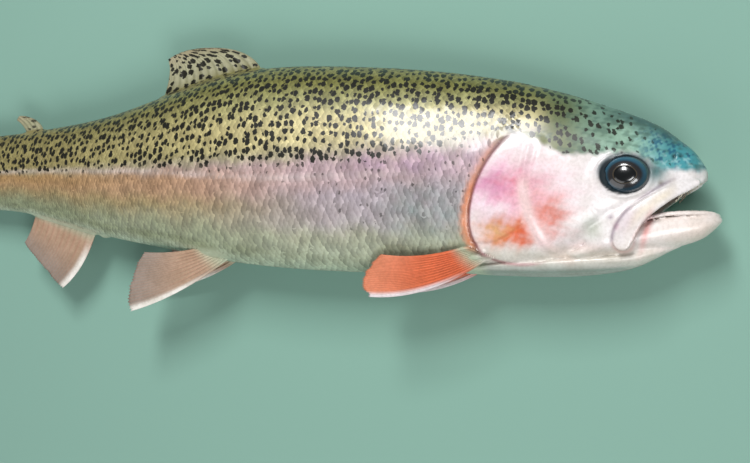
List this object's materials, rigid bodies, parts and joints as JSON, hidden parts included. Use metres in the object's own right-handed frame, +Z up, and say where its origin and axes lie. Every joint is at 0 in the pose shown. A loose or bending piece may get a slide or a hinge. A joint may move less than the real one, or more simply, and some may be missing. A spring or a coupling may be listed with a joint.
{
  "type": "rainbow trout",
  "caption": "Life-size still model of a rainbow trout lying on its left side, mouth ajar, with spotted back, pink side band and all its fins.",
  "frame": {"origin": "on the ground under the middle of the whole fish", "axes": "+X toward the head, +Y toward the back, +Z up, which is the fish's right side"},
  "size_m": [0.3904, 0.1074, 0.0422],
  "materials": {
    "head_skin": "glossy blue-teal with small dark spots, as wet skin",
    "jaw_skin": "glossy pinkish white, as wet skin",
    "cheek_skin": "glossy rose and silver, as wet skin",
    "belly_skin": "glossy greenish white, as wet skin",
    "flank_skin": "glossy olive back with dark spots, pink band and silver side",
    "back_fin": "olive grey membrane with dark spots",
    "belly_fin": "orange-pink membrane, pale leading edge",
    "mouth_lining": "moist pale pink",
    "eye": "polished, dark pupil and bronze-grey iris"
  },
  "bodies": {
    "root": {"adipose_fin": "back_fin", "anal_fin": "belly_fin", "dorsal_fin": "back_fin", "eye_left": "eye", "eye_right": "eye", "gill_cover_left": "cheek_skin", "gill_cover_right": "cheek_skin", "head": "head_skin", "lower_jaw": "jaw_skin", "maxilla_left": "jaw_skin", "maxilla_right": "jaw_skin", "pectoral_fin_left": "belly_fin", "pectoral_fin_right": "belly_fin", "pelvic_fin_left": "belly_fin", "pelvic_fin_right": "belly_fin", "tail_fin": "back_fin", "tail_stalk": "flank_skin", "throat": "belly_skin", "tongue": "mouth_lining", "trunk_front": "flank_skin", "trunk_rear": "flank_skin"}
  },
  "joints": []
}
